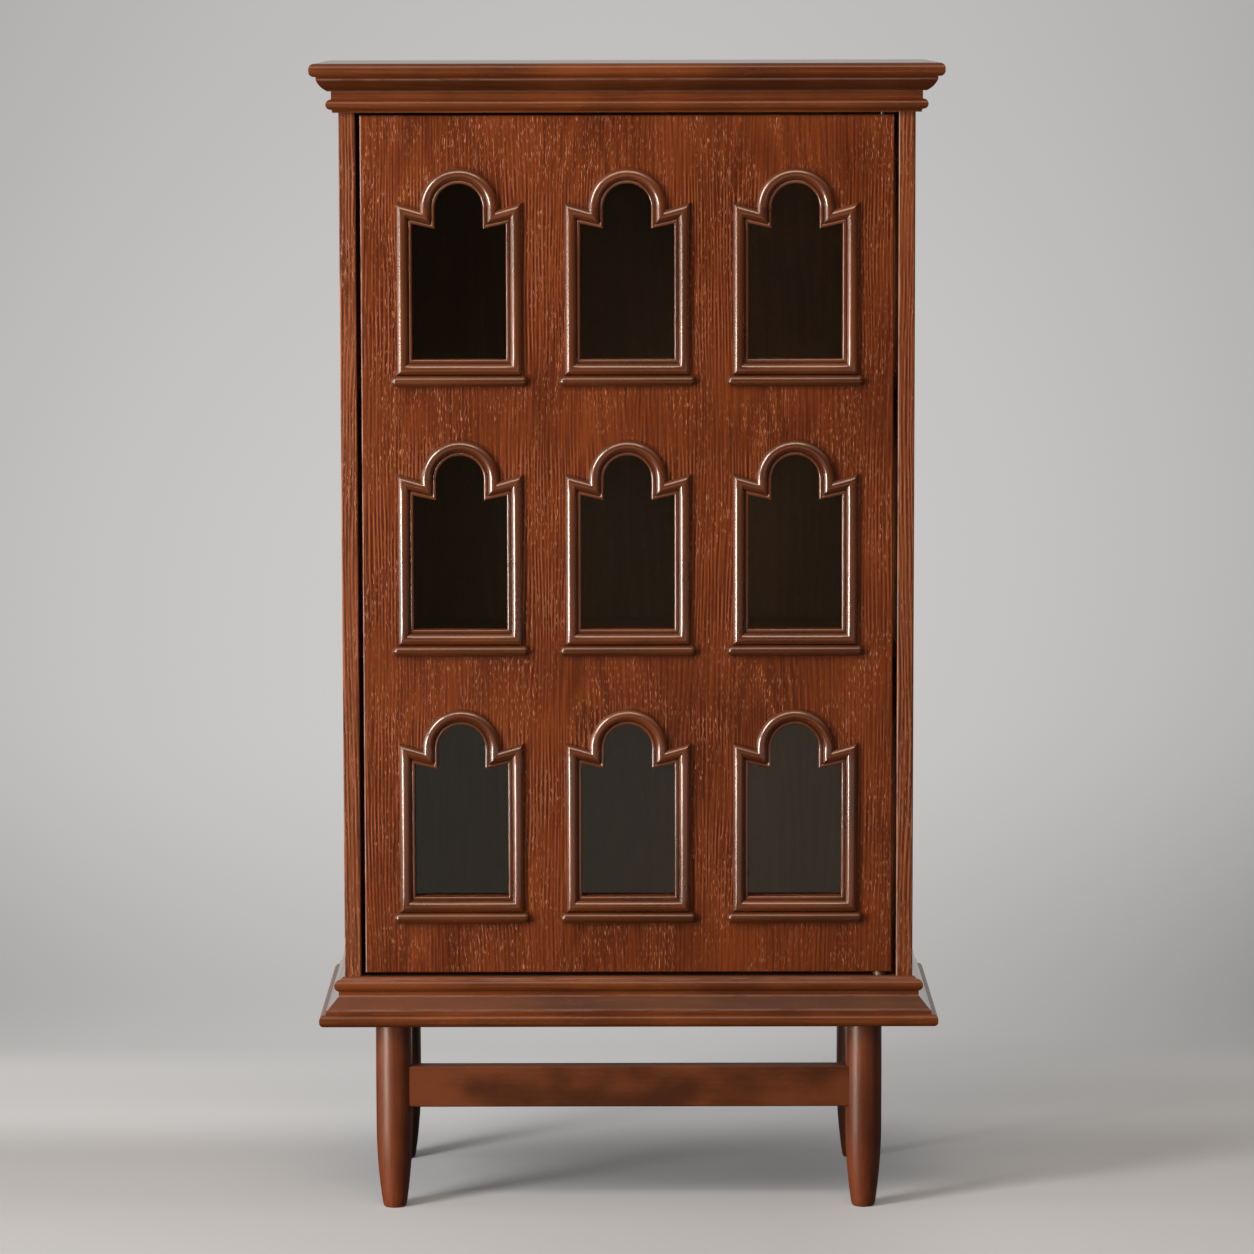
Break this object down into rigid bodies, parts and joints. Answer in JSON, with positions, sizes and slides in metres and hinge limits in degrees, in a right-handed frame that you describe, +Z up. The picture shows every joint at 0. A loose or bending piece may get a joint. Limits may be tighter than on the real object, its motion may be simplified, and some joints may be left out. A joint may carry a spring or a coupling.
{
  "type": "display cabinet",
  "caption": "Tall narrow wooden display cabinet on turned legs: keyhole-arched windows in an inset pivot-hung door, stepped crown and base mouldings.",
  "frame": {"origin": "on the floor, under the middle of the cabinet's bounding box", "axes": "+Z up, -Y towards the front with the door, +X towards the door's hinge side"},
  "size_m": [0.762, 0.3678, 1.4],
  "materials": {
    "carcass_wood": "satin stained",
    "door_wood": "satin stained",
    "moulding_wood": "satin stained",
    "leg_wood": "satin stained",
    "inner_wood": "satin stained",
    "back_board": "matt stained",
    "dowel_wood": "plain",
    "glass": "clear",
    "steel": "zinc plated",
    "brass": "plain",
    "latch_plastic": "matt"
  },
  "bodies": {
    "cabinet": {"back_panel": "back_board", "base_board": "carcass_wood", "base_moulding_front": "moulding_wood", "base_moulding_left": "moulding_wood", "base_moulding_right": "moulding_wood", "bottom_panel": "inner_wood", "bottom_pivot_bush": "brass", "case_dowels": "dowel_wood", "case_screws": "steel", "crown_board": "carcass_wood", "crown_moulding_front": "moulding_wood", "crown_moulding_left": "moulding_wood", "crown_moulding_right": "moulding_wood", "front_left_leg": "leg_wood", "front_rail": "leg_wood", "front_right_leg": "leg_wood", "hanger_bolts": "steel", "latch_housing": "latch_plastic", "latch_spring": "steel", "left_side_panel": "carcass_wood", "leg_blocks": "back_board", "leg_inserts": "brass", "lower_shelf": "inner_wood", "rear_left_leg": "leg_wood", "rear_right_leg": "leg_wood", "right_side_panel": "carcass_wood", "shelf_pins": "steel", "top_panel": "inner_wood", "top_pivot_bush": "brass", "upper_shelf": "inner_wood"},
    "door": {"door_panel": "door_wood", "window_moulding_bottom_left": "moulding_wood", "window_moulding_bottom_centre": "moulding_wood", "window_moulding_bottom_right": "moulding_wood", "window_moulding_middle_left": "moulding_wood", "window_moulding_middle_centre": "moulding_wood", "window_moulding_middle_right": "moulding_wood", "window_moulding_top_left": "moulding_wood", "window_moulding_top_centre": "moulding_wood", "window_moulding_top_right": "moulding_wood", "window_sills_bottom": "moulding_wood", "window_sills_middle": "moulding_wood", "window_sills_top": "moulding_wood", "glass_pane_bottom_left": "glass", "glass_pane_bottom_centre": "glass", "glass_pane_bottom_right": "glass", "glass_pane_middle_left": "glass", "glass_pane_middle_centre": "glass", "glass_pane_middle_right": "glass", "glass_pane_top_left": "glass", "glass_pane_top_centre": "glass", "glass_pane_top_right": "glass", "glazing_beads": "door_wood", "top_pivot_plate": "steel", "bottom_pivot_plate": "steel", "door_screws": "steel", "strike_plate": "steel"},
    "plunger": {"latch_plunger": "latch_plastic"}
  },
  "joints": [
    {"name": "door_hinge", "type": "hinge", "parent": "cabinet", "child": "door", "pos_m": [0.30775, -0.13912, 0.2927], "axis": [0, 0, 1], "range_deg": [0, 105]},
    {"name": "latch_press", "type": "slide", "parent": "cabinet", "child": "plunger", "axis": [0, 1, 0], "range_m": [0, 0.003], "stiffness_N_per_m": 600, "springref_m": -0.002}
  ]
}
